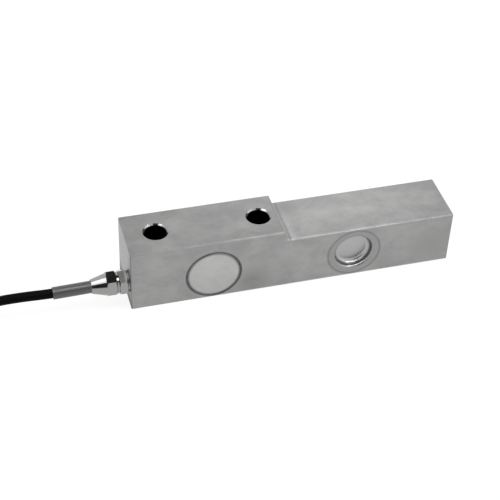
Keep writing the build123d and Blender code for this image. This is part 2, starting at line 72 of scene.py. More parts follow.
# The cable: a round four-core cable in a black jacket of extruded polyurethane, 5.9 mm thick and
# 3 m long. It runs straight out of the gland, and its spare length is wound into a long tied hank
# of ten turns, two side by side and five high, that lies beyond the gland.
cable_diameter = 0.0059
cable_exit = (-0.1016, -0.0105, 0.0167)
cable_route = np.array([
    (-93.2, -10.5, 16.7),
    (-119.4, -10.5, 16.7),
    (-131.5, -10.5, 16.7),
    (-147.5, -10.45, 15.9),
    (-165.5, -10.55, 17.05),
    (-182.0, -11.4, 17.6),
    (-197.0, -14.4, 15.85),
    (-205.5, -14.4, 15.85),
]) / 1000
hank_low, hank_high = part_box("cable_hank")
turn_pitch = 0.006
fold_radius = 0.018
hank_half_width = fold_radius + 1.5 * turn_pitch
slide_share = 0.5
hank_middle_y = 0.0096
hank_floor = 0.00085
fold_near_x = hank_high.x - hank_half_width
fold_far_x = hank_low.x + hank_half_width
tail_low, tail_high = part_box("cable_tail")
hank_tracks = np.array([(1, 2), (1, 1), (1, 0), (0, 0), (0, 1), (0, 2), (0, 3), (1, 3), (1, 4), (0, 4)])


def ease(share):
    """A smooth step from 0 to 1 as the share goes from 0 to 1: 3 s^2 - 2 s^3."""
    share = np.clip(share, 0, 1)
    return share * share * (3 - 2 * share)


def hank_turn(number):
    """Points of one turn: a front run at y = middle - r, a half circle, a back run at y = middle + r
    on which the turn slides over to the next track, a little earlier each time, and a half circle
    back. The half circles' points stand at r / 0.966, because a quadratic spline cuts inside them by
    that much."""
    swell = 1 / 0.966
    angles = np.radians([-75, -45, -15, 15, 45, 75])
    column, layer = hank_tracks[number]
    radius, height = fold_radius + turn_pitch * column, hank_floor + turn_pitch * (layer + 0.5)
    shares = np.array([0.1, 0.35, 0.65, 0.9])
    run_x = fold_near_x + (fold_far_x - fold_near_x) * shares
    front = np.stack([run_x, hank_middle_y - radius + 0 * shares, height + 0 * shares], 1)
    if number == len(hank_tracks) - 1:
        rise = ease((angles - angles[0]) / (angles[-1] - angles[0]))
        tail_y, tail_z = (tail_low.y + tail_high.y) / 2, (tail_low.z + tail_high.z) / 2
        radii = radius + (tail_y - hank_middle_y - radius) * rise
        heights = height + (tail_z - height) * rise
    else:
        radii, heights = radius + 0 * angles, height + 0 * angles
    far_fold = np.stack([
        fold_far_x - swell * radii * np.cos(angles),
        hank_middle_y + swell * radii * np.sin(angles),
        heights,
    ], 1)
    if number == len(hank_tracks) - 1:
        tail_x = np.linspace(fold_far_x + 0.008, tail_high.x, 3)
        tail = np.stack([tail_x, tail_y + 0 * tail_x, tail_z + 0 * tail_x], 1)
        return np.concatenate([front, far_fold, tail])
    next_column, next_layer = hank_tracks[number + 1]
    shares = np.array([0.08, 0.25, 0.42, 0.58, 0.75, 0.92])
    slide_start = 0.22 - 0.025 * (number - 4)
    slide = ease((shares - slide_start) / slide_share)
    next_radius = fold_radius + turn_pitch * next_column
    next_height = hank_floor + turn_pitch * (next_layer + 0.5)
    back = np.stack([
        fold_far_x + (fold_near_x - fold_far_x) * shares,
        hank_middle_y + radius + (next_radius - radius) * slide,
        height + (next_height - height) * slide,
    ], 1)
    near_fold = np.stack([
        fold_near_x + swell * next_radius * np.cos(angles),
        hank_middle_y - swell * next_radius * np.sin(angles),
        next_height + 0 * angles,
    ], 1)
    return np.concatenate([front, far_fold, back, near_fold])


cable_points = np.concatenate([cable_route] + [hank_turn(number) for number in range(len(hank_tracks))])
cable_curve = bpy.data.curves.new("cable_run", "CURVE")
cable_curve.dimensions = "3D"
cable_curve.bevel_depth = cable_diameter / 2
cable_curve.bevel_resolution = 5
cable_curve.resolution_u = 6
cable_curve.use_fill_caps = True
cable_spline = cable_curve.splines.new("NURBS")
cable_spline.points.add(len(cable_points) - 1)
weighted = np.concatenate([cable_points, np.ones((len(cable_points), 1))], 1)
cable_spline.points.foreach_set("co", weighted.ravel())
cable_spline.order_u = 3
cable_spline.use_endpoint_u = True
cable_run = bpy.data.objects.new("cable_run", cable_curve)
bpy.context.collection.objects.link(cable_run)


def linear(hex_code):
    """Turns an sRGB hex colour to linear light: c / 12.92 for dark channels, and otherwise
    ((c + 0.055) / 1.055) to the power 2.4."""
    channels = np.array([int(hex_code[place:place + 2], 16) for place in (1, 3, 5)]) / 255
    light = np.where(channels <= 0.04045, channels / 12.92, ((channels + 0.055) / 1.055) ** 2.4)
    return (*[float(value) for value in light], 1.0)


def add_node(tree, kind, settings=None, links=None):
    """Adds a node. Settings name its inputs or its own properties; links name its inputs and give
    each a node and that node's output. A number stands for the input in that place: 1 to 4 on Map
    Range are the range that comes in and the range that goes out, and 6 and 7 on a colour Mix are
    its two colours."""
    node = tree.nodes.new(kind)
    for name, value in (settings or {}).items():
        if isinstance(name, int) or name in node.inputs:
            node.inputs[name].default_value = value
        else:
            setattr(node, name, value)
    for name, (source, output) in (links or {}).items():
        tree.links.new(source.outputs[output], node.inputs[name])
    return node


def start_finish(name, settings):
    """A material of that name, with the all-over values set on its shader's own sockets."""
    finish = bpy.data.materials.new(name)
    finish.use_nodes = True
    shader = finish.node_tree.nodes["Principled BSDF"]
    for socket, value in settings.items():
        shader.inputs[socket].default_value = value
    return finish, finish.node_tree, shader


# Extruded polyurethane is smooth with a low satin sheen. Its skin has a faint orange peel, about
# 0.6 mm across, and slow patches that are a little more or less glossy where hands have rubbed it.
jacket, tree, shader = start_finish("extruded_polyurethane_jacket", {
    "Base Color": linear("#050505"), "IOR": 1.5, "Roughness": 0.5, "Specular IOR Level": 0.03,
})
place = add_node(tree, "ShaderNodeTexCoord")
peel = add_node(tree, "ShaderNodeTexNoise", {"Scale": 1600.0, "Detail": 3.0}, {"Vector": (place, "Object")})
patches = add_node(tree, "ShaderNodeTexNoise", {"Scale": 90.0, "Detail": 4.0},
                   {"Vector": (place, "Object")})
rubbed_gloss_and_edge_light = add_node(tree, "ShaderNodeMapRange", {3: 0.42, 4: 0.58}, {0: (patches, "Fac")})
tint = add_node(tree, "ShaderNodeMix", {"data_type": "RGBA", 6: linear("#030304"), 7: linear("#09090a")},
                {0: (patches, "Fac")})
skin = add_node(tree, "ShaderNodeBump", {"Strength": 0.25, "Distance": 0.00004}, {"Height": (peel, "Fac")})
tree.links.new(tint.outputs[2], shader.inputs["Base Color"])
tree.links.new(rubbed_gloss_and_edge_light.outputs[0], shader.inputs["Roughness"])
tree.links.new(skin.outputs[0], shader.inputs["Normal"])
cable_curve.materials.append(jacket)
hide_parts("cable_inlet", "cable", "cable_hank", "cable_tail")
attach(cable_run, "root")


def dress(finish, *nodes):
    """Gives every material slot of these CAD nodes that finish."""
    for name in nodes:
        for material_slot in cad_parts[name].material_slots:
            material_slot.material = finish


# The beam: a bar of 17-4 PH stainless steel, milled, drilled and blasted with fine glass beads to an
# even satin grey with faint clouds. Its long edges carry a painted highlight, and the rims of its seats
# a thin dark ring that is partly the welds' heat tint and partly painted shade. The bead dimples are
# drawn 0.4 mm across, coarser than real ones, to show.
_, beam_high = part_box("beam_body")
beam_half_length = beam_high.x
beam_half_width = beam_high.y
pad_top = beam_high.z
lower_top = 0.0365
side_height = lower_top / 2
cover_x = -0.0508
gauge_x = 0.0381
weld_radius = 0.0165
step_x = -0.0076
beam_steel, tree, shader = start_finish("bead_blasted_stainless_steel", {
    "Base Color": linear("#a2a2a2"), "Metallic": 1.0, "Roughness": 0.42,
})
place = add_node(tree, "ShaderNodeTexCoord")
split = add_node(tree, "ShaderNodeSeparateXYZ", None, {0: (place, "Object")})
along_bar = add_node(tree, "ShaderNodeMapping", {"Scale": (0.7, 1.0, 1.0)}, {0: (place, "Object")})
clouds = add_node(tree, "ShaderNodeTexNoise", {
    "Scale": 75.0, "Detail": 6.0, "Roughness": 0.7, "Distortion": 0.3,
}, {"Vector": (along_bar, 0)})
blast = add_node(tree, "ShaderNodeTexNoise", {"Scale": 2600.0, "Detail": 2.0},
                 {"Vector": (place, "Object")})
cloudy = add_node(tree, "ShaderNodeMapRange", {1: 0.3, 2: 0.7}, {0: (clouds, "Fac")})
ground = add_node(tree, "ShaderNodeMix", {"data_type": "RGBA", 6: linear("#8b8b8b"), 7: linear("#a5a5a4")},
                  {0: (cloudy, 0)})
# Nearness to a face fades over about a millimetre inside it, and two near faces at once make an edge
side = add_node(tree, "ShaderNodeMath", {"operation": "ABSOLUTE"}, {0: (split, "Y")})
near_side = add_node(tree, "ShaderNodeMapRange", {1: beam_half_width - 0.0013, 2: beam_half_width - 0.0005},
                     {0: (side, 0)})
end = add_node(tree, "ShaderNodeMath", {"operation": "ABSOLUTE"}, {0: (split, "X")})
near_end = add_node(tree, "ShaderNodeMapRange", {
    1: beam_half_length - 0.0009, 2: beam_half_length - 0.0003,
}, {0: (end, 0)})
on_pad = add_node(tree, "ShaderNodeMath", {"operation": "LESS_THAN", 1: step_x + 0.0004}, {0: (split, "X")})
top_here = add_node(tree, "ShaderNodeMapRange", {3: lower_top, 4: pad_top}, {0: (on_pad, 0)})
below_top = add_node(tree, "ShaderNodeMath", {"operation": "SUBTRACT"}, {0: (top_here, 0), 1: (split, "Z")})
nearest_flat = add_node(tree, "ShaderNodeMath", {"operation": "MINIMUM"},
                        {0: (below_top, 0), 1: (split, "Z")})
near_flat = add_node(tree, "ShaderNodeMapRange", {1: 0.0013, 2: 0.0005}, {0: (nearest_flat, 0)})
long_edge = add_node(tree, "ShaderNodeMath", {"operation": "MULTIPLY"},
                     {0: (near_side, 0), 1: (near_flat, 0)})
from_middle = add_node(tree, "ShaderNodeMath", {"operation": "SUBTRACT", 1: 0.015}, {0: (split, "X")})
from_middle = add_node(tree, "ShaderNodeMath", {"operation": "ABSOLUTE"}, {0: (from_middle, 0)})
# A painted highlight brightens the long edges, strongest near the middle of the bar
rubbed_gloss_and_edge_light = add_node(tree, "ShaderNodeMapRange", {1: 0.03, 2: 0.1, 3: 0.54, 4: 0.0}, {0: (from_middle, 0)})
edge_highlight = add_node(tree, "ShaderNodeMath", {"operation": "MULTIPLY"}, {0: (long_edge, 0), 1: (rubbed_gloss_and_edge_light, 0)})
# The lower top was milled after the pad, and is a little brighter
on_lower_top = add_node(tree, "ShaderNodeMath", {"operation": "SUBTRACT", 0: 1.0}, {1: (on_pad, 0)})
on_lower_top = add_node(tree, "ShaderNodeMath", {"operation": "MULTIPLY"},
                        {0: (on_lower_top, 0), 1: (near_flat, 0)})
milled = add_node(tree, "ShaderNodeMix", {
    "data_type": "RGBA", "blend_type": "MULTIPLY", 7: (1.2, 1.2, 1.2, 1.0),
}, {0: (on_lower_top, 0), 6: (ground, 2)})
# The tops are darker towards both ends and the front. The sawn ends carry painted shade, most of all
# near their feet and on their front by the gland. The front carries a little painted shade low down, and
# its long top edge carries painted shade near the free end
outward = add_node(tree, "ShaderNodeMapRange", {1: 0.05, 2: 0.1, 3: 0.0, 4: 0.2}, {0: (end, 0)})
frontward = add_node(tree, "ShaderNodeMapRange", {1: 0.004, 2: -beam_half_width, 3: 0.0, 4: 0.09},
                     {0: (split, "Y")})
outward = add_node(tree, "ShaderNodeMath", {"operation": "MAXIMUM"}, {0: (outward, 0), 1: (frontward, 0)})
darker_top = add_node(tree, "ShaderNodeMath", {"operation": "MULTIPLY"}, {0: (outward, 0), 1: (near_flat, 0)})
end_shade = add_node(tree, "ShaderNodeMapRange", {1: 0.0, 2: 0.014, 3: 0.6, 4: 0.04}, {0: (split, "Z")})
end_shade_front = add_node(tree, "ShaderNodeMapRange", {1: -beam_half_width, 2: -0.004, 3: 0.28, 4: 0.0},
                     {0: (split, "Y")})
end_shade = add_node(tree, "ShaderNodeMath", {"operation": "MAXIMUM"},
                     {0: (end_shade, 0), 1: (end_shade_front, 0)})
painted_end_shade = add_node(tree, "ShaderNodeMath", {"operation": "MULTIPLY"},
                    {0: (end_shade, 0), 1: (near_end, 0)})
dull = add_node(tree, "ShaderNodeMath", {"operation": "MAXIMUM"}, {0: (darker_top, 0), 1: (painted_end_shade, 0)})
low_shade = add_node(tree, "ShaderNodeMapRange", {1: 0.002, 2: 0.018, 3: 0.09, 4: 0.0}, {0: (split, "Z")})
low_front_shade = add_node(tree, "ShaderNodeMath", {"operation": "MULTIPLY"},
                      {0: (low_shade, 0), 1: (near_side, 0)})
dull = add_node(tree, "ShaderNodeMath", {"operation": "MAXIMUM"}, {0: (dull, 0), 1: (low_front_shade, 0)})
far_along = add_node(tree, "ShaderNodeMapRange", {1: 0.03, 2: 0.08, 3: 0.0, 4: 0.26}, {0: (split, "X")})
edge_shade = add_node(tree, "ShaderNodeMath", {"operation": "MULTIPLY"},
                     {0: (far_along, 0), 1: (long_edge, 0)})
dull = add_node(tree, "ShaderNodeMath", {"operation": "MAXIMUM"}, {0: (dull, 0), 1: (edge_shade, 0)})
# Handling has left a few soft smudges: five on the front, one on the lower top beyond the step
front_plane = -beam_half_width
for centre, reach, strength in (
    ((-0.026, front_plane, 0.006), 0.021, 0.46), ((-0.036, front_plane, 0.035), 0.011, 0.22),
    ((0.058, front_plane, 0.006), 0.016, 0.24), ((-0.058, front_plane, 0.0), 0.012, 0.15),
    ((0.09, front_plane, 0.014), 0.026, 0.26), ((0.0, 0.012, lower_top), 0.013, 0.42),
):
    away_from = add_node(tree, "ShaderNodeVectorMath", {"operation": "DISTANCE", 1: centre},
                         {0: (place, "Object")})
    smudge = add_node(tree, "ShaderNodeMapRange", {
        "interpolation_type": "SMOOTHSTEP", 1: reach, 2: 0.0, 3: 0.0, 4: strength,
    }, {0: (away_from, "Value")})
    blotchy = add_node(tree, "ShaderNodeMath", {"operation": "MULTIPLY"}, {0: (smudge, 0), 1: (cloudy, 0)})
    dull = add_node(tree, "ShaderNodeMath", {"operation": "MAXIMUM"}, {0: (dull, 0), 1: (blotchy, 0)})
# Painted shade and the smudges darken the steel
shaded_and_smudged = add_node(tree, "ShaderNodeMix", {"data_type": "RGBA", 7: linear("#2c2c2c")},
                  {0: (dull, 0), 6: (milled, 2)})
# The long edges are painted lighter: a painted highlight
edge_lit = add_node(tree, "ShaderNodeMix", {"data_type": "RGBA", 7: linear("#b4b4b4")},
                   {0: (edge_highlight, 0), 6: (shaded_and_smudged, 2)})
# A thin dark ring round each welded seat is partly the welds' heat tint and partly painted shade of the
# seam
tinted_and_shaded = edge_lit
for seat_x in (cover_x, gauge_x):
    along = add_node(tree, "ShaderNodeMath", {"operation": "SUBTRACT", 1: seat_x}, {0: (split, "X")})
    rise = add_node(tree, "ShaderNodeMath", {"operation": "SUBTRACT", 1: side_height}, {0: (split, "Z")})
    flat = add_node(tree, "ShaderNodeCombineXYZ", None, {0: (along, 0), 2: (rise, 0)})
    radius = add_node(tree, "ShaderNodeVectorMath", {"operation": "LENGTH"}, {0: (flat, 0)})
    off_seam = add_node(tree, "ShaderNodeMath", {"operation": "SUBTRACT", 1: weld_radius},
                        {0: (radius, "Value")})
    off_seam = add_node(tree, "ShaderNodeMath", {"operation": "ABSOLUTE"}, {0: (off_seam, 0)})
    tint_and_shade = 0.9 if seat_x == cover_x else 0.35
    ring = add_node(tree, "ShaderNodeMapRange", {1: 0.0013, 2: 0.0006, 3: 0.0, 4: tint_and_shade}, {0: (off_seam, 0)})
    on_side = add_node(tree, "ShaderNodeMath", {"operation": "MULTIPLY"}, {0: (ring, 0), 1: (near_side, 0)})
    if seat_x == cover_x:
        in_front = add_node(tree, "ShaderNodeMath", {"operation": "LESS_THAN", 1: 0.0}, {0: (split, "Y")})
        on_side = add_node(tree, "ShaderNodeMath", {"operation": "MULTIPLY"},
                           {0: (on_side, 0), 1: (in_front, 0)})
    tinted_and_shaded = add_node(tree, "ShaderNodeMix", {"data_type": "RGBA", 7: linear("#4e4d4c")},
                      {0: (on_side, 0), 6: (tinted_and_shaded, 2)})
# A painted shadow darkens the lower top at the step's foot, and a painted reflection lightens it a little
# further on, fading towards the back. The pad's edge over the step carries painted shade too
from_foot = add_node(tree, "ShaderNodeMath", {"operation": "SUBTRACT", 1: step_x}, {0: (split, "X")})
foot_shade_reach = add_node(tree, "ShaderNodeMapRange", {1: 0.0052, 2: 0.0042, 3: 0.0, 4: 0.16},
                     {0: (from_foot, 0)})
foot_shade = add_node(tree, "ShaderNodeMath", {"operation": "MULTIPLY"},
                 {0: (foot_shade_reach, 0), 1: (on_lower_top, 0)})
from_edge = add_node(tree, "ShaderNodeMath", {"operation": "ABSOLUTE"}, {0: (from_foot, 0)})
step_edge_shade = add_node(tree, "ShaderNodeMapRange", {1: 0.001, 2: 0.0006, 3: 0.0, 4: 0.26}, {0: (from_edge, 0)})
step_edge_shade = add_node(tree, "ShaderNodeMath", {"operation": "MULTIPLY"}, {0: (step_edge_shade, 0), 1: (near_flat, 0)})
foot_shade = add_node(tree, "ShaderNodeMath", {"operation": "MAXIMUM"}, {0: (foot_shade, 0), 1: (step_edge_shade, 0)})
foot_shaded = add_node(tree, "ShaderNodeMix", {"data_type": "RGBA", 7: linear("#303030")},
                    {0: (foot_shade, 0), 6: (tinted_and_shaded, 2)})
band_start = add_node(tree, "ShaderNodeMapRange", {1: 0.0046, 2: 0.0055, 3: 0.0, 4: 0.3},
                      {0: (from_foot, 0)})
band_end = add_node(tree, "ShaderNodeMapRange", {1: 0.0056, 2: 0.0098, 3: 1.0, 4: 0.0}, {0: (from_foot, 0)})
painted_band_light = add_node(tree, "ShaderNodeMath", {"operation": "MULTIPLY"}, {0: (band_start, 0), 1: (band_end, 0)})
painted_band_light = add_node(tree, "ShaderNodeMath", {"operation": "MULTIPLY"}, {0: (painted_band_light, 0), 1: (on_lower_top, 0)})
fading = add_node(tree, "ShaderNodeMapRange", {1: -0.014, 2: 0.012, 3: 1.0, 4: 0.1}, {0: (split, "Y")})
painted_band_light = add_node(tree, "ShaderNodeMath", {"operation": "MULTIPLY"}, {0: (painted_band_light, 0), 1: (fading, 0)})
band_lit = add_node(tree, "ShaderNodeMix", {"data_type": "RGBA", 7: linear("#d2d2d2")},
                  {0: (painted_band_light, 0), 6: (foot_shaded, 2)})
# Painted shade darkens the drilled bores and the front and the left of each mouth; the back and the
# right of each mouth are painted light. The mouths are cut smooth, and so mirror more than the blasted
# faces
hole_radius = 0.00675
mouth_radius = hole_radius + 0.001
hole_spacing = 0.0635
hole_near_x = 0.01905 - beam_half_length
finished = band_lit
for hole_x in (hole_near_x, hole_near_x + hole_spacing):
    along = add_node(tree, "ShaderNodeMath", {"operation": "SUBTRACT", 1: hole_x}, {0: (split, "X")})
    flat = add_node(tree, "ShaderNodeCombineXYZ", None, {0: (along, 0), 1: (split, "Y")})
    reach = add_node(tree, "ShaderNodeVectorMath", {"operation": "LENGTH"}, {0: (flat, 0)})
    lean = add_node(tree, "ShaderNodeMath", {"operation": "MULTIPLY_ADD", 1: 0.2},
                    {0: (along, 0), 2: (split, "Y")})
    lit_back = add_node(tree, "ShaderNodeMapRange", {1: 0.0028, 2: 0.0048}, {0: (lean, 0)})
    lit_right = add_node(tree, "ShaderNodeMapRange", {1: 0.003, 2: 0.006, 3: 0.0, 4: 0.7},
                           {0: (along, 0)})
    lit_mouth = add_node(tree, "ShaderNodeMath", {"operation": "MAXIMUM"},
                     {0: (lit_back, 0), 1: (lit_right, 0)})
    mouth = add_node(tree, "ShaderNodeMapRange", {1: mouth_radius + 0.00005, 2: mouth_radius - 0.00005},
                     {0: (reach, "Value")})
    cut = add_node(tree, "ShaderNodeMix", {"data_type": "RGBA", 6: linear("#242424"), 7: linear("#a2a2a2")},
                   {0: (lit_mouth, 0)})
    finished = add_node(tree, "ShaderNodeMix", {"data_type": "RGBA"},
                        {0: (mouth, 0), 6: (finished, 2), 7: (cut, 2)})
    bore_shade = add_node(tree, "ShaderNodeMapRange", {1: hole_radius + 0.0003, 2: hole_radius + 0.0001},
                    {0: (reach, "Value")})
    finished = add_node(tree, "ShaderNodeMix", {"data_type": "RGBA", 7: linear("#1c1c1c")},
                        {0: (bore_shade, 0), 6: (finished, 2)})
    clouds = add_node(tree, "ShaderNodeMix", {3: 0.0}, {0: (mouth, 0), 2: (clouds, 0)})
grain = add_node(tree, "ShaderNodeMapRange", {1: 0.0, 2: 0.7, 3: 0.14, 4: 0.5}, {0: (clouds, 0)})
pits = add_node(tree, "ShaderNodeBump", {"Strength": 0.35, "Distance": 0.00003}, {"Height": (blast, "Fac")})
# Where the sawn ends carry painted shade, their reflection is painted darker too, through its tint
end_reflection_shade = add_node(tree, "ShaderNodeMapRange", {1: 0.14, 2: 0.55, 3: 1.0, 4: 0.45}, {0: (painted_end_shade, 0)})
tree.links.new(finished.outputs[2], shader.inputs["Base Color"])
tree.links.new(end_reflection_shade.outputs[0], shader.inputs["Specular Tint"])
tree.links.new(grain.outputs[0], shader.inputs["Roughness"])
tree.links.new(pits.outputs[0], shader.inputs["Normal"])
dress(beam_steel, "beam_body")


# The terminal cover: a flat disc of the same steel, turned on a lathe and laser welded flush into
# its seat. It is finer than the blasted beam, shows the lathe's rings very faintly (drawn 0.45 mm
# apart, coarser than real ones), carries painted shade low down, and is dark at its rim, partly from
# the weld's heat tint and partly from painted shade of the seam.
cover_steel, tree, shader = start_finish("turned_stainless_cover", {
    "Base Color": linear("#b0b0b0"), "Metallic": 1.0, "Roughness": 0.38,
})
place = add_node(tree, "ShaderNodeTexCoord")
centre = add_node(tree, "ShaderNodeMapping", {"Location": (-cover_x, 0, -side_height)},
                  {0: (place, "Object")})
rings = add_node(tree, "ShaderNodeTexWave", {
    "wave_type": "RINGS", "rings_direction": "Y", "Scale": 700.0, "Distortion": 0.6, "Detail": 2.0,
}, {0: (centre, 0)})
clouds = add_node(tree, "ShaderNodeTexNoise", {"Scale": 85.0, "Detail": 6.0, "Roughness": 0.8},
                  {"Vector": (place, "Object")})
steel_tone = add_node(tree, "ShaderNodeMix", {
    "data_type": "RGBA", 6: linear("#9d9d9d"), 7: linear("#c2c2c1"),
}, {0: (clouds, "Fac")})
split = add_node(tree, "ShaderNodeSeparateXYZ", None, {0: (place, "Object")})
# Painted shade darkens the cover low down
low_shade = add_node(tree, "ShaderNodeMapRange", {1: 0.003, 2: 0.018, 3: 0.16, 4: 0.0}, {0: (split, "Z")})
steel_tone = add_node(tree, "ShaderNodeMix", {"data_type": "RGBA", 7: linear("#5c5c5c")},
                      {0: (low_shade, 0), 6: (steel_tone, 2)})
# The dark rim: partly the weld's heat tint, partly painted shade of the seam
flat = add_node(tree, "ShaderNodeMapping", {"Location": (-cover_x, 0, -side_height), "Scale": (1, 0, 1)},
                {0: (place, "Object")})
radius = add_node(tree, "ShaderNodeVectorMath", {"operation": "LENGTH"}, {0: (flat, 0)})
rim = add_node(tree, "ShaderNodeMapRange", {1: 0.0148, 2: 0.0158, 3: 0.0, 4: 0.6}, {0: (radius, "Value")})
steel_tone = add_node(tree, "ShaderNodeMix", {"data_type": "RGBA", 7: linear("#3a3938")},
                      {0: (rim, 0), 6: (steel_tone, 2)})
lathe = add_node(tree, "ShaderNodeBump", {"Strength": 0.12, "Distance": 0.00002},
                 {"Height": (rings, "Fac")})
tree.links.new(steel_tone.outputs[2], shader.inputs["Base Color"])
tree.links.new(lathe.outputs[0], shader.inputs["Normal"])
dress(cover_steel, "terminal_cover")


# The sealing cups: thin dishes pressed from bright stainless sheet and welded into the gauge pockets
# on both sides. Pressing leaves them smoother and shinier than the beam.
cup_steel, tree, shader = start_finish("pressed_bright_stainless", {
    "Base Color": linear("#a6a6a6"), "Metallic": 1.0, "Roughness": 0.28,
})
place = add_node(tree, "ShaderNodeTexCoord")
rub = add_node(tree, "ShaderNodeTexNoise", {"Scale": 160.0, "Detail": 6.0}, {"Vector": (place, "Object")})
shine = add_node(tree, "ShaderNodeMapRange", {3: 0.32, 4: 0.4}, {0: (rub, "Fac")})
split = add_node(tree, "ShaderNodeSeparateXYZ", None, {0: (place, "Object")})
depth = add_node(tree, "ShaderNodeMath", {"operation": "ABSOLUTE"}, {0: (split, "Y")})
on_flange = add_node(tree, "ShaderNodeMapRange", {1: beam_half_width - 0.0012, 2: beam_half_width - 0.0003},
                     {0: (depth, 0)})
dish = add_node(tree, "ShaderNodeMix", {"data_type": "RGBA", 6: linear("#a2a2a2"), 7: linear("#b1b1b0")},
                {0: (rub, "Fac")})
# Painted shade darkens the cup's drawn wall down in the pocket
wall_top = add_node(tree, "ShaderNodeMapRange", {1: beam_half_width - 0.0008, 2: beam_half_width - 0.0017},
                    {0: (depth, 0)})
wall_foot = add_node(tree, "ShaderNodeMapRange", {1: beam_half_width - 0.0036, 2: beam_half_width - 0.0026},
                     {0: (depth, 0)})
drawn = add_node(tree, "ShaderNodeMath", {"operation": "MULTIPLY"}, {0: (wall_top, 0), 1: (wall_foot, 0)})
wall_shaded = add_node(tree, "ShaderNodeMix", {"data_type": "RGBA", 7: linear("#767676")},
                  {0: (drawn, 0), 6: (dish, 2)})
tone = add_node(tree, "ShaderNodeMix", {"data_type": "RGBA", 7: linear("#919191")},
                {0: (on_flange, 0), 6: (wall_shaded, 2)})
tree.links.new(shine.outputs[0], shader.inputs["Roughness"])
tree.links.new(tone.outputs[2], shader.inputs["Base Color"])
dress(cup_steel, "gauge_cup_front", "gauge_cup_back")


# The weld seams: a laser run round each cover and cup, a row of overlapping ripples of steel that
# melted and froze, sunk just under the face and a little darker from the heat.
def grid_faces(steps, rows, steps_close, rows_close):
    """The faces of a grid of points, numbered row by row within each step: point (i, j) joins
    (i, j + 1), (i + 1, j + 1) and (i + 1, j), and the last joins the first where the grid closes."""
    i, j = np.meshgrid(np.arange(steps - 1 + steps_close), np.arange(rows - 1 + rows_close), indexing="ij")
    after, above = (i + 1) % steps, (j + 1) % rows
    corners = [i * rows + j, i * rows + above, after * rows + above, after * rows + j]
    return np.stack(corners, -1).reshape(-1, 4)


def weld_seam(name, centre_x, face_y, outward, radius):
    """A closed bead: at angle a round the seam and b over the bead, the radius is R + w cos b, and
    the height over its sunk bed is h sin b, with ripples h (1 + 0.3 cos(n a - 2.2 sin b))."""
    around = np.linspace(0, 2 * np.pi, 360, endpoint=False)
    over = np.linspace(0, np.pi, 7)
    a, b = np.meshgrid(around, over, indexing="ij")
    width, height, sunk, ripples = 0.00045, 0.00022, 0.00034, 118
    rippled = height * (1 + 0.3 * np.cos(ripples * a - 2.2 * np.sin(b)))
    r = radius + width * np.cos(b)
    y = face_y - outward * sunk + outward * rippled * np.sin(b)
    grid = np.stack([centre_x + r * np.cos(a), y, side_height + r * np.sin(a)], -1).reshape(-1, 3)
    quads = grid_faces(len(around), len(over), True, False)
    quads = quads[:, ::-1] if outward < 0 else quads
    mesh = bpy.data.meshes.new(name)
    mesh.from_pydata(grid.tolist(), [], quads.tolist())
    mesh.shade_smooth()
    seam = bpy.data.objects.new(name, mesh)
    bpy.context.collection.objects.link(seam)
    return seam


seam_radius = weld_radius + 0.00005
weld_steel, tree, shader = start_finish("laser_welded_stainless", {
    "Base Color": linear("#868584"), "Metallic": 1.0, "Roughness": 0.4,
})
place = add_node(tree, "ShaderNodeTexCoord")
scale = add_node(tree, "ShaderNodeTexNoise", {"Scale": 420.0, "Detail": 4.0}, {"Vector": (place, "Object")})
burnt = add_node(tree, "ShaderNodeMix", {"data_type": "RGBA", 6: linear("#454443"), 7: linear("#6e6d6b")},
                 {0: (scale, "Fac")})
brushed = add_node(tree, "ShaderNodeMix", {"data_type": "RGBA", 6: linear("#858483"), 7: linear("#a09f9d")},
                   {0: (scale, "Fac")})
# The cover's weld was left burnt, and the cups' welds were brushed bright
split = add_node(tree, "ShaderNodeSeparateXYZ", None, {0: (place, "Object")})
at_cups = add_node(tree, "ShaderNodeMath", {"operation": "GREATER_THAN", 1: 0.0}, {0: (split, "X")})
either = add_node(tree, "ShaderNodeMix", {"data_type": "RGBA"},
                  {0: (at_cups, 0), 6: (burnt, 2), 7: (brushed, 2)})
tree.links.new(either.outputs[2], shader.inputs["Base Color"])
for name, centre_x, face_y, outward in (
    ("cover_weld", cover_x, -beam_half_width, -1),
    ("cup_weld_front", gauge_x, -beam_half_width, -1),
    ("cup_weld_back", gauge_x, beam_half_width, 1),
):
    seam = weld_seam(name, centre_x, face_y, outward, seam_radius)
    seam.data.materials.append(weld_steel)
    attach(seam, "root")


# The gland: a body and a long nut turned from hexagonal brass bar and plated with bright nickel,
# which mirrors its surroundings in hard stripes. The turning leaves fine rings along its axis, drawn
# 0.35 mm apart, coarser than real ones.
nickel, tree, shader = start_finish("bright_nickel_plate", {
    "Base Color": linear("#959594"), "Metallic": 1.0, "Roughness": 0.14,
})
place = add_node(tree, "ShaderNodeTexCoord")
haze = add_node(tree, "ShaderNodeTexNoise", {"Scale": 240.0, "Detail": 5.0}, {"Vector": (place, "Object")})
plate_gloss = add_node(tree, "ShaderNodeMapRange", {3: 0.11, 4: 0.17}, {0: (haze, "Fac")})
turned = add_node(tree, "ShaderNodeTexWave", {
    "wave_type": "BANDS", "bands_direction": "X", "Scale": 900.0, "Distortion": 0.3, "Detail": 1.0,
}, {0: (place, "Object")})
tool_marks = add_node(tree, "ShaderNodeBump", {"Strength": 0.06, "Distance": 0.00001},
                      {"Height": (turned, "Fac")})
tree.links.new(plate_gloss.outputs[0], shader.inputs["Roughness"])
tree.links.new(tool_marks.outputs[0], shader.inputs["Normal"])
dress(nickel, "gland_body")
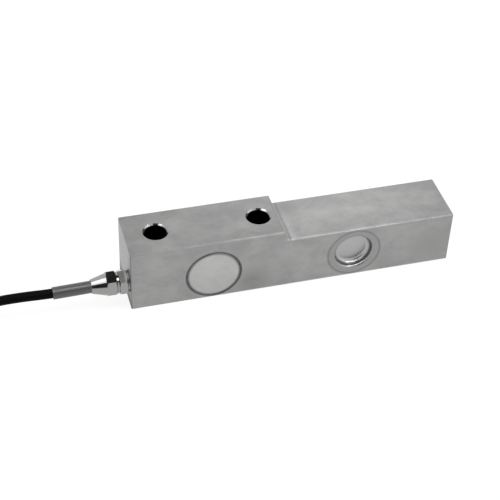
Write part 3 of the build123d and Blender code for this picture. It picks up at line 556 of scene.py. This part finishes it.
# A low turned shoulder stands before the body's hexagon and all but fills the gap to the nut
shoulder_radius = 0.0066
shoulder_inside = 0.0051
shoulder_near_x = -0.1079
shoulder_far_x = -0.10915
shoulder_bevel = 0.0001
shoulder_profile = np.array([
    (shoulder_near_x, shoulder_inside), (shoulder_near_x, shoulder_radius),
    (shoulder_far_x + shoulder_bevel, shoulder_radius), (shoulder_far_x, shoulder_radius - shoulder_bevel),
    (shoulder_far_x, shoulder_inside),
])


def turned_ring(name, profile, steps=72):
    """A turned ring: the closed profile (x, r) goes once round the axis on which the cable leaves, so
    a point of it at angle a lies at (x, y0 + r cos a, z0 + r sin a)."""
    _, axis_y, axis_z = cable_exit
    angle = np.linspace(0.0, 2.0 * np.pi, steps, endpoint=False)[:, None]
    x, r = profile.T
    ring = np.stack([
        x + 0.0 * angle, axis_y + r * np.cos(angle), axis_z + r * np.sin(angle),
    ], axis=-1)
    mesh = bpy.data.meshes.new(name)
    mesh.from_pydata(ring.reshape(-1, 3).tolist(), [], grid_faces(steps, len(profile), True, True).tolist())
    mesh.materials.append(nickel)
    return bpy.data.objects.new(name, mesh)


shoulder = turned_ring("gland_shoulder", shoulder_profile)
bpy.context.collection.objects.link(shoulder)
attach(shoulder, "root")
# The nut's hexagon reaches 1.2 mm further over the neck than the CAD solid's, so the nut seen here is
# that solid with its near end drawn out
nut_middle_x = -0.113
drawn_out = 0.0012
nut_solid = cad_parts["gland_nut"]
nut_mesh = nut_solid.data.copy()
nut_mesh.transform(nut_solid.matrix_world)
nut_points = np.empty(3 * len(nut_mesh.vertices), dtype=np.float32)
nut_mesh.vertices.foreach_get("co", nut_points)
nut_points[0::3] += np.where(nut_points[0::3] > nut_middle_x, drawn_out, 0.0).astype(np.float32)
nut_mesh.vertices.foreach_set("co", nut_points)
nut_mesh.update()
nut_mesh.materials.clear()
nut_mesh.materials.append(nickel)
long_nut = bpy.data.objects.new("long_nut", nut_mesh)
bpy.context.collection.objects.link(long_nut)
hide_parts("gland_nut")
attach(long_nut, "root")


# The gland's soft pieces and washer: the moulded nitrile grommet that the nut squeezes onto the
# cable, the pressed fibre washer that seals the body against the beam, and the stamped brass washer
# that the nut slides on.
nitrile, tree, shader = start_finish("moulded_nitrile_rubber", {
    "Base Color": linear("#1c1c1c"), "IOR": 1.52, "Roughness": 0.6,
})
place = add_node(tree, "ShaderNodeTexCoord")
bloom = add_node(tree, "ShaderNodeTexNoise", {"Scale": 700.0, "Detail": 4.0}, {"Vector": (place, "Object")})
dull = add_node(tree, "ShaderNodeMix", {"data_type": "RGBA", 6: linear("#161616"), 7: linear("#292929")},
                {0: (bloom, "Fac")})
moulded = add_node(tree, "ShaderNodeBump", {"Strength": 0.2, "Distance": 0.00004},
                   {"Height": (bloom, "Fac")})
tree.links.new(dull.outputs[2], shader.inputs["Base Color"])
tree.links.new(moulded.outputs[0], shader.inputs["Normal"])
dress(nitrile, "sealing_grommet")
fibre, tree, shader = start_finish("pressed_grey_fibre", {
    "Base Color": linear("#4a4a4a"), "IOR": 1.5, "Roughness": 0.4,
})
place = add_node(tree, "ShaderNodeTexCoord")
strands = add_node(tree, "ShaderNodeTexNoise", {"Scale": 900.0, "Detail": 4.0, "Distortion": 0.8},
                   {"Vector": (place, "Object")})
pressed = add_node(tree, "ShaderNodeMix", {"data_type": "RGBA", 6: linear("#3a3a3a"), 7: linear("#626262")},
                   {0: (strands, "Fac")})
# Painted shade darkens the washer at the hexagon's six corners, and painted light brightens it between them
corner_angle = math.radians(18.7)
split = add_node(tree, "ShaderNodeSeparateXYZ", None, {0: (place, "Object")})
off_side = add_node(tree, "ShaderNodeMath", {"operation": "SUBTRACT", 1: cable_exit[1]}, {0: (split, "Y")})
off_level = add_node(tree, "ShaderNodeMath", {"operation": "SUBTRACT", 1: cable_exit[2]}, {0: (split, "Z")})
around = add_node(tree, "ShaderNodeMath", {"operation": "ARCTAN2"}, {0: (off_level, 0), 1: (off_side, 0)})
six_fold = add_node(tree, "ShaderNodeMath", {"operation": "MULTIPLY_ADD", 1: 6.0, 2: -6.0 * corner_angle},
                    {0: (around, 0)})
corner = add_node(tree, "ShaderNodeMath", {"operation": "COSINE"}, {0: (six_fold, 0)})
lit_between_corners = add_node(tree, "ShaderNodeMapRange", {1: 0.8, 2: -0.2, 3: 0.0, 4: 0.75}, {0: (corner, 0)})
corner_shaded = add_node(tree, "ShaderNodeMix", {"data_type": "RGBA", 7: linear("#9a9a99")},
                    {0: (lit_between_corners, 0), 6: (pressed, 2)})
tree.links.new(corner_shaded.outputs[2], shader.inputs["Base Color"])
dress(fibre, "gland_seal")
washer_brass, tree, shader = start_finish("stamped_brass", {
    "Base Color": linear("#b89a5a"), "Metallic": 1.0, "Roughness": 0.35,
})
place = add_node(tree, "ShaderNodeTexCoord")
stamped = add_node(tree, "ShaderNodeTexNoise", {"Scale": 900.0, "Detail": 3.0},
                   {"Vector": (place, "Object")})
stamping = add_node(tree, "ShaderNodeMapRange", {3: 0.28, 4: 0.45}, {0: (stamped, "Fac")})
tree.links.new(stamping.outputs[0], shader.inputs["Roughness"])
dress(washer_brass, "clamp_washer")


# The strain relief: a sleeve of grey heat-shrink polyolefin over the cable where it leaves the nut.
# It is dull and smooth, with shallow ripples where it has shrunk on.
sleeve_rubber, tree, shader = start_finish("shrunk_grey_polyolefin", {
    "Base Color": linear("#2a2a2a"), "IOR": 1.8, "Roughness": 0.38,
})
place = add_node(tree, "ShaderNodeTexCoord")
shrink = add_node(tree, "ShaderNodeTexNoise", {"Scale": 220.0, "Detail": 4.0},
                  {"Vector": (place, "Object")})
powder = add_node(tree, "ShaderNodeMix", {"data_type": "RGBA", 6: linear("#222222"), 7: linear("#2e2e2e")},
                  {0: (shrink, "Fac")})
wrinkles = add_node(tree, "ShaderNodeBump", {"Strength": 0.2, "Distance": 0.00012},
                    {"Height": (shrink, "Fac")})
tree.links.new(powder.outputs[2], shader.inputs["Base Color"])
tree.links.new(wrinkles.outputs[0], shader.inputs["Normal"])
dress(sleeve_rubber, "strain_relief_sleeve")


# The strain gauges: an amber polyimide film with etched constantan foil, bonded to the web, and the
# flat ribbons of the same film that carry their wires. The foil's lines are drawn 0.29 mm apart,
# coarser than real ones.
film, tree, shader = start_finish("polyimide_film", {
    "Base Color": linear("#c98a33"), "IOR": 1.7, "Roughness": 0.3,
})
place = add_node(tree, "ShaderNodeTexCoord")
slant = add_node(tree, "ShaderNodeMapping", {"Rotation": (0, math.radians(45), 0)}, {0: (place, "Object")})
grid_lines = add_node(tree, "ShaderNodeTexWave", {"bands_direction": "X", "Scale": 1100.0}, {0: (slant, 0)})
foil = add_node(tree, "ShaderNodeMix", {"data_type": "RGBA", 6: linear("#b87a2a"), 7: linear("#d9a95e")},
                {0: (grid_lines, "Fac")})
tree.links.new(foil.outputs[2], shader.inputs["Base Color"])
dress(film, "shear_gauge_front", "shear_gauge_back")
ribbon_film, tree, shader = start_finish("ribbon_film", {
    "Base Color": linear("#b9792b"), "IOR": 1.7, "Roughness": 0.35,
})
place = add_node(tree, "ShaderNodeTexCoord")
traces = add_node(tree, "ShaderNodeTexWave", {"bands_direction": "Z", "Scale": 900.0},
                  {0: (place, "Object")})
copper = add_node(tree, "ShaderNodeMix", {"data_type": "RGBA", 6: linear("#a8681f"), 7: linear("#cf8d48")},
                  {0: (traces, "Fac")})
tree.links.new(copper.outputs[2], shader.inputs["Base Color"])
dress(ribbon_film, "gauge_ribbon_front", "gauge_ribbon_back")


# The terminal board: glass-fibre epoxy under a green lacquer, with tinned pads, wound trimming
# resistors and the cable's four insulated cores.
lacquer, tree, shader = start_finish("green_lacquered_epoxy", {
    "Base Color": linear("#1f5f38"), "IOR": 1.55, "Roughness": 0.3,
})
place = add_node(tree, "ShaderNodeTexCoord")
weave = add_node(tree, "ShaderNodeTexBrick", {
    "Scale": 1400.0, "Color1": linear("#1c5a34"), "Color2": linear("#246a40"), "Mortar": linear("#17492b"),
}, {0: (place, "Object")})
tree.links.new(weave.outputs["Color"], shader.inputs["Base Color"])
dress(lacquer, "terminal_board")
tin, tree, shader = start_finish("tinned_copper", {
    "Base Color": linear("#c9cacc"), "Metallic": 1.0, "Roughness": 0.3,
})
place = add_node(tree, "ShaderNodeTexCoord")
frost = add_node(tree, "ShaderNodeTexNoise", {"Scale": 1800.0, "Detail": 3.0},
                 {"Vector": (place, "Object")})
frosted = add_node(tree, "ShaderNodeMapRange", {3: 0.2, 4: 0.45}, {0: (frost, "Fac")})
tree.links.new(frosted.outputs[0], shader.inputs["Roughness"])
dress(tin, "solder_pads", "lead_tips")
windings, tree, shader = start_finish("varnished_windings", {
    "Base Color": linear("#6b4a2c"), "IOR": 1.5, "Roughness": 0.35,
})
place = add_node(tree, "ShaderNodeTexCoord")
wound = add_node(tree, "ShaderNodeTexWave", {"bands_direction": "Z", "Scale": 1200.0},
                 {0: (place, "Object")})
varnish = add_node(tree, "ShaderNodeMix", {"data_type": "RGBA", 6: linear("#4b3018"), 7: linear("#8c6236")},
                   {0: (wound, "Fac")})
tree.links.new(varnish.outputs[2], shader.inputs["Base Color"])
dress(windings, "trim_resistors")


# The hank's tie: a strap of woven nylon hook-and-loop tape, 20 mm wide, wrapped round the front run
# with its end lapped over on the inner side.
tape_thickness = 0.0008
tape_inset = 0.0009
tape_side_inset = 0.0002
tape_turns = 1.14
tape_start = 0.1
lap_start, lap_share = 0.9, 0.1
lap_height = 0.0011
squareness = 14


def tie_strap():
    """The strap follows a rounded box |y / a|^n + |z / b|^n = 1 round the bundle: a point at share s
    of the way round and v across has the box's place at s, pushed out over the lap by a smooth step."""
    low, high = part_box("hank_tie")
    middle = np.array([(low.y + high.y) / 2, (low.z + high.z) / 2])
    half = np.array([(high.y - low.y) / 2, (high.z - low.z) / 2]) - tape_inset
    s = np.linspace(0, tape_turns, 240)
    angle = 2 * np.pi * s + tape_start
    direction = np.stack([np.cos(angle), np.sin(angle)], -1)
    box_radius = (np.abs(direction / half) ** squareness).sum(1) ** (-1 / squareness)
    lap = lap_height * ease((s - lap_start) / lap_share)
    ring = middle + direction * (box_radius + lap)[:, None]
    v = np.linspace(-1, 1, 13)
    ring_grid, v_grid = np.broadcast_arrays(ring[:, None, :], v[None, :, None])
    half_width = (high.x - low.x) / 2 - tape_side_inset
    x = (low.x + high.x) / 2 + v_grid[..., 0] * half_width
    points = np.stack([x, ring_grid[..., 0], ring_grid[..., 1]], -1).reshape(-1, 3)
    quads = grid_faces(len(s), len(v), False, False)
    mesh = bpy.data.meshes.new("tie_strap")
    mesh.from_pydata(points.tolist(), [], quads.tolist())
    mesh.shade_smooth()
    strap = bpy.data.objects.new("tie_strap", mesh)
    bpy.context.collection.objects.link(strap)
    thick = strap.modifiers.new("thickness", "SOLIDIFY")
    thick.thickness = tape_thickness
    thick.offset = 0
    return strap


nylon, tree, shader = start_finish("woven_nylon_tape", {
    "Base Color": linear("#0c0c0d"), "IOR": 1.53, "Roughness": 0.85, "Sheen Weight": 0.08,
    "Specular IOR Level": 0.2,
})
place = add_node(tree, "ShaderNodeTexCoord")
weft = add_node(tree, "ShaderNodeTexWave", {"bands_direction": "X", "Scale": 500.0, "Distortion": 1.5},
                {0: (place, "Object")})
warp = add_node(tree, "ShaderNodeTexWave", {"bands_direction": "Z", "Scale": 500.0, "Distortion": 1.5},
                {0: (place, "Object")})
cloth = add_node(tree, "ShaderNodeMath", {"operation": "MULTIPLY"}, {0: (weft, "Fac"), 1: (warp, "Fac")})
loops = add_node(tree, "ShaderNodeBump", {"Strength": 0.5, "Distance": 0.00015}, {"Height": (cloth, 0)})
shade = add_node(tree, "ShaderNodeMix", {"data_type": "RGBA", 6: linear("#08080a"), 7: linear("#1c1c1f")},
                 {0: (cloth, 0)})
tree.links.new(shade.outputs[2], shader.inputs["Base Color"])
tree.links.new(loops.outputs[0], shader.inputs["Normal"])
strap = tie_strap()
strap.data.materials.append(nylon)
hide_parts("hank_tie")
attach(strap, "root")


# The cable's far end: a black heat-shrink collar where the jacket stops, and the flying leads in
# coloured insulation with tinned ends, left bare to be wired in.
collar_shrink, tree, shader = start_finish("shrunk_black_polyolefin", {
    "Base Color": linear("#101011"), "IOR": 1.49, "Roughness": 0.5, "Specular IOR Level": 0.25,
})
place = add_node(tree, "ShaderNodeTexCoord")
creases = add_node(tree, "ShaderNodeTexNoise", {"Scale": 350.0, "Detail": 4.0},
                   {"Vector": (place, "Object")})
faded = add_node(tree, "ShaderNodeMix", {"data_type": "RGBA", 6: linear("#0b0b0c"), 7: linear("#17171a")},
                 {0: (creases, "Fac")})
shrunk_on = add_node(tree, "ShaderNodeBump", {"Strength": 0.3, "Distance": 0.00015},
                     {"Height": (creases, "Fac")})
tree.links.new(faded.outputs[2], shader.inputs["Base Color"])
tree.links.new(shrunk_on.outputs[0], shader.inputs["Normal"])
dress(collar_shrink, "end_collar")
for node, dark, light, roughness in (
    ("lead_red", "#8e1717", "#a82222", 0.35),
    ("lead_green", "#17603a", "#1f7548", 0.35),
    ("lead_shield", "#8a8a88", "#b4b4b1", 0.45),
    ("lead_white", "#d0d0cc", "#e6e6e2", 0.4),
    ("lead_black", "#111112", "#1e1e20", 0.4),
    ("cable_cores", "#b3b3ad", "#cbcbc5", 0.4),
):
    insulation, tree, shader = start_finish(f"extruded_insulation_{node}", {
        "IOR": 1.52, "Roughness": roughness,
    })
    place = add_node(tree, "ShaderNodeTexCoord")
    streaks = add_node(tree, "ShaderNodeTexNoise", {"Scale": 600.0, "Detail": 3.0},
                       {"Vector": (place, "Object")})
    colour = add_node(tree, "ShaderNodeMix", {"data_type": "RGBA", 6: linear(dark), 7: linear(light)},
                      {0: (streaks, "Fac")})
    tree.links.new(colour.outputs[2], shader.inputs["Base Color"])
    dress(insulation, node)


# The studio: a white paper sweep that shows white to the camera and in the metal, and keeps a soft
# shadow, under one large round softbox and two small round lamps, with bright walls behind and
# beside it and a dark room in front.
paper = bpy.data.materials.new("white_paper_sweep")
paper.use_nodes = True
tree = paper.node_tree
tree.nodes.clear()
path = add_node(tree, "ShaderNodeLightPath")
seen = add_node(tree, "ShaderNodeMath", {"operation": "MAXIMUM"},
                {0: (path, "Is Camera Ray"), 1: (path, "Is Glossy Ray")})
seen = add_node(tree, "ShaderNodeMath", {"operation": "MAXIMUM"},
                {0: (seen, 0), 1: (path, "Is Transmission Ray")})
share = add_node(tree, "ShaderNodeMath", {"operation": "MULTIPLY", 1: 0.86}, {0: (seen, 0)})
matt = add_node(tree, "ShaderNodeBsdfDiffuse", {"Color": linear("#eeeeee")})
white = add_node(tree, "ShaderNodeEmission", {"Color": (1, 1, 1, 1), "Strength": 1.02})
mixed = add_node(tree, "ShaderNodeMixShader", None, {0: (share, 0), 1: (matt, 0), 2: (white, 0)})
add_node(tree, "ShaderNodeOutputMaterial", None, {"Surface": (mixed, 0)})
sweep_mesh = bpy.data.meshes.new("paper_floor")
reach = 6.0
sweep_corners = [(-reach, -reach, 0), (reach, -reach, 0), (reach, reach, 0), (-reach, reach, 0)]
sweep_mesh.from_pydata(sweep_corners, [], [(0, 1, 2, 3)])
paper_floor = bpy.data.objects.new("paper_floor", sweep_mesh)
paper_floor.data.materials.append(paper)
bpy.context.collection.objects.link(paper_floor)

world = bpy.data.worlds.new("studio")
bpy.context.scene.world = world
world.use_nodes = True
tree = world.node_tree
tree.nodes.clear()
# The walls are brighter behind the table and brighter still to its right
ceiling_aim = (0.1, 0.3, 0.95)
gap_aim = (-0.292, -0.956, 0.0)
across_gap = (0.956, -0.292, 0.0)
direction = add_node(tree, "ShaderNodeTexCoord")
height = add_node(tree, "ShaderNodeSeparateXYZ", None, {0: (direction, "Generated")})
lifted = add_node(tree, "ShaderNodeMapRange", {
    "interpolation_type": "SMOOTHSTEP", 1: 0.1, 2: 0.5, 3: 1.0, 4: 1.15,
}, {0: (height, "Y")})
window = add_node(tree, "ShaderNodeMapRange", {
    "interpolation_type": "SMOOTHSTEP", 1: 0.5, 2: 0.85, 3: 1.0, 4: 1.6,
}, {0: (height, "X")})
lifted = add_node(tree, "ShaderNodeMath", {"operation": "MULTIPLY"}, {0: (lifted, 0), 1: (window, 0)})
# Overhead, beyond the softbox, the ceiling is dark
cap = add_node(tree, "ShaderNodeVectorMath", {"operation": "DOT_PRODUCT", 1: ceiling_aim},
               {0: (direction, "Generated")})
ceiling = add_node(tree, "ShaderNodeMapRange", {
    "interpolation_type": "SMOOTHSTEP", 1: 0.93, 2: 0.985, 3: 1.0, 4: 0.02,
}, {0: (cap, "Value")})
# In front the room is dark in a tall gap between the walls, from the table's edge to high up
sideways = add_node(tree, "ShaderNodeVectorMath", {"operation": "DOT_PRODUCT", 1: across_gap},
                    {0: (direction, "Generated")})
off_gap = add_node(tree, "ShaderNodeMath", {"operation": "ABSOLUTE"}, {0: (sideways, "Value")})
gap_width = add_node(tree, "ShaderNodeMapRange", {"interpolation_type": "SMOOTHSTEP", 1: 0.38, 2: 0.28},
                     {0: (off_gap, 0)})
forward = add_node(tree, "ShaderNodeVectorMath", {"operation": "DOT_PRODUCT", 1: gap_aim},
                   {0: (direction, "Generated")})
gap_top = add_node(tree, "ShaderNodeMapRange", {"interpolation_type": "SMOOTHSTEP", 1: 0.15, 2: 0.38},
                   {0: (forward, "Value")})
gap_foot = add_node(tree, "ShaderNodeMapRange", {"interpolation_type": "SMOOTHSTEP", 1: 0.05, 2: 0.15},
                    {0: (height, "Z")})
gap = add_node(tree, "ShaderNodeMath", {"operation": "MULTIPLY"}, {0: (gap_width, 0), 1: (gap_top, 0)})
gap = add_node(tree, "ShaderNodeMath", {"operation": "MULTIPLY"}, {0: (gap, 0), 1: (gap_foot, 0)})
open_gap = add_node(tree, "ShaderNodeMapRange", {3: 1.0, 4: 0.03}, {0: (gap, 0)})
wall = add_node(tree, "ShaderNodeMath", {"operation": "MULTIPLY"}, {0: (ceiling, 0), 1: (open_gap, 0)})
wall = add_node(tree, "ShaderNodeMath", {"operation": "MULTIPLY"}, {0: (wall, 0), 1: (lifted, 0)})
sky = add_node(tree, "ShaderNodeBackground", {"Color": (1, 1, 1, 1)}, {"Strength": (wall, 0)})
add_node(tree, "ShaderNodeOutputWorld", None, {"Surface": (sky, 0)})

softbox_data = bpy.data.lights.new("overhead_softbox", "AREA")
softbox_data.shape = "DISK"
softbox_data.size = 0.92
softbox_data.energy = 5.2
softbox = bpy.data.objects.new("overhead_softbox", softbox_data)
softbox.location = (-0.60, -0.06, 0.885)
softbox.visible_camera = False
bpy.context.collection.objects.link(softbox)

# Two small round lamps to the right of the softbox give rounded parts their narrow highlights
for name, energy, spot in (
    ("small_lamp_right", 2.6, (0.5, -0.25, 0.72)),
    ("small_lamp_above", 2.0, (0.05, -0.27, 0.88)),
):
    lamp_data = bpy.data.lights.new(name, "AREA")
    lamp_data.shape = "DISK"
    lamp_data.size = 0.32
    lamp_data.energy = energy
    lamp = bpy.data.objects.new(name, lamp_data)
    lamp.location = spot
    lamp.visible_camera = False
    bpy.context.collection.objects.link(lamp)

bpy.context.scene.view_settings.view_transform = "Standard"
